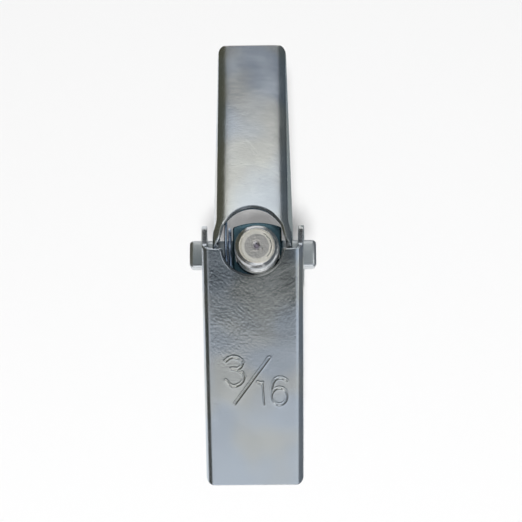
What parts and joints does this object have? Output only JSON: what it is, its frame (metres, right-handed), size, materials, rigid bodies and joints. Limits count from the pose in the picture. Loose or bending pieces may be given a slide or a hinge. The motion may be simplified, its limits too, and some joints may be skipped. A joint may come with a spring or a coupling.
{
  "type": "spring toggle bolt",
  "caption": "Spring toggle bolt standing on its flat slotted head, with a trunnion nut and two channel wings held open by a coil spring.",
  "frame": {"origin": "centre of the head's flat face, on the bolt's axis", "axes": "+Z along the bolt from its head to its tip; X along the nut's arms; the outer wing opens towards -Y and the inner wing towards +Y"},
  "size_m": [0.0136, 0.0487, 0.0508],
  "materials": {
    "zinc": "zinc-plated, fine grain",
    "nut": "zinc-plated, darker",
    "wire": "bright spring wire"
  },
  "bodies": {
    "bolt": {"bolt": "zinc"},
    "nut": {"trunnion_nut": "nut", "spring": "wire"},
    "outer_wing": {"outer_wing": "zinc"},
    "inner_wing": {"inner_wing": "zinc"}
  },
  "joints": [
    {"name": "nut_travel", "type": "slide", "parent": "bolt", "child": "nut", "axis": [0, 0, -1], "range_m": [-0.00423, 0.01799]},
    {"name": "outer_wing_hinge", "type": "hinge", "parent": "nut", "child": "outer_wing", "pos_m": [-0.00049, 0, 0.0448], "axis": [1, 0, 0], "range_deg": [0, 70], "stiffness_Nm_per_rad": 0.008, "springref_deg": -57.3},
    {"name": "inner_wing_hinge", "type": "hinge", "parent": "nut", "child": "inner_wing", "pos_m": [-0.00049, 0, 0.0448], "axis": [-1, 0, 0], "range_deg": [0, 78], "stiffness_Nm_per_rad": 0.008, "springref_deg": -57.3, "deforming": ["spring"]}
  ]
}
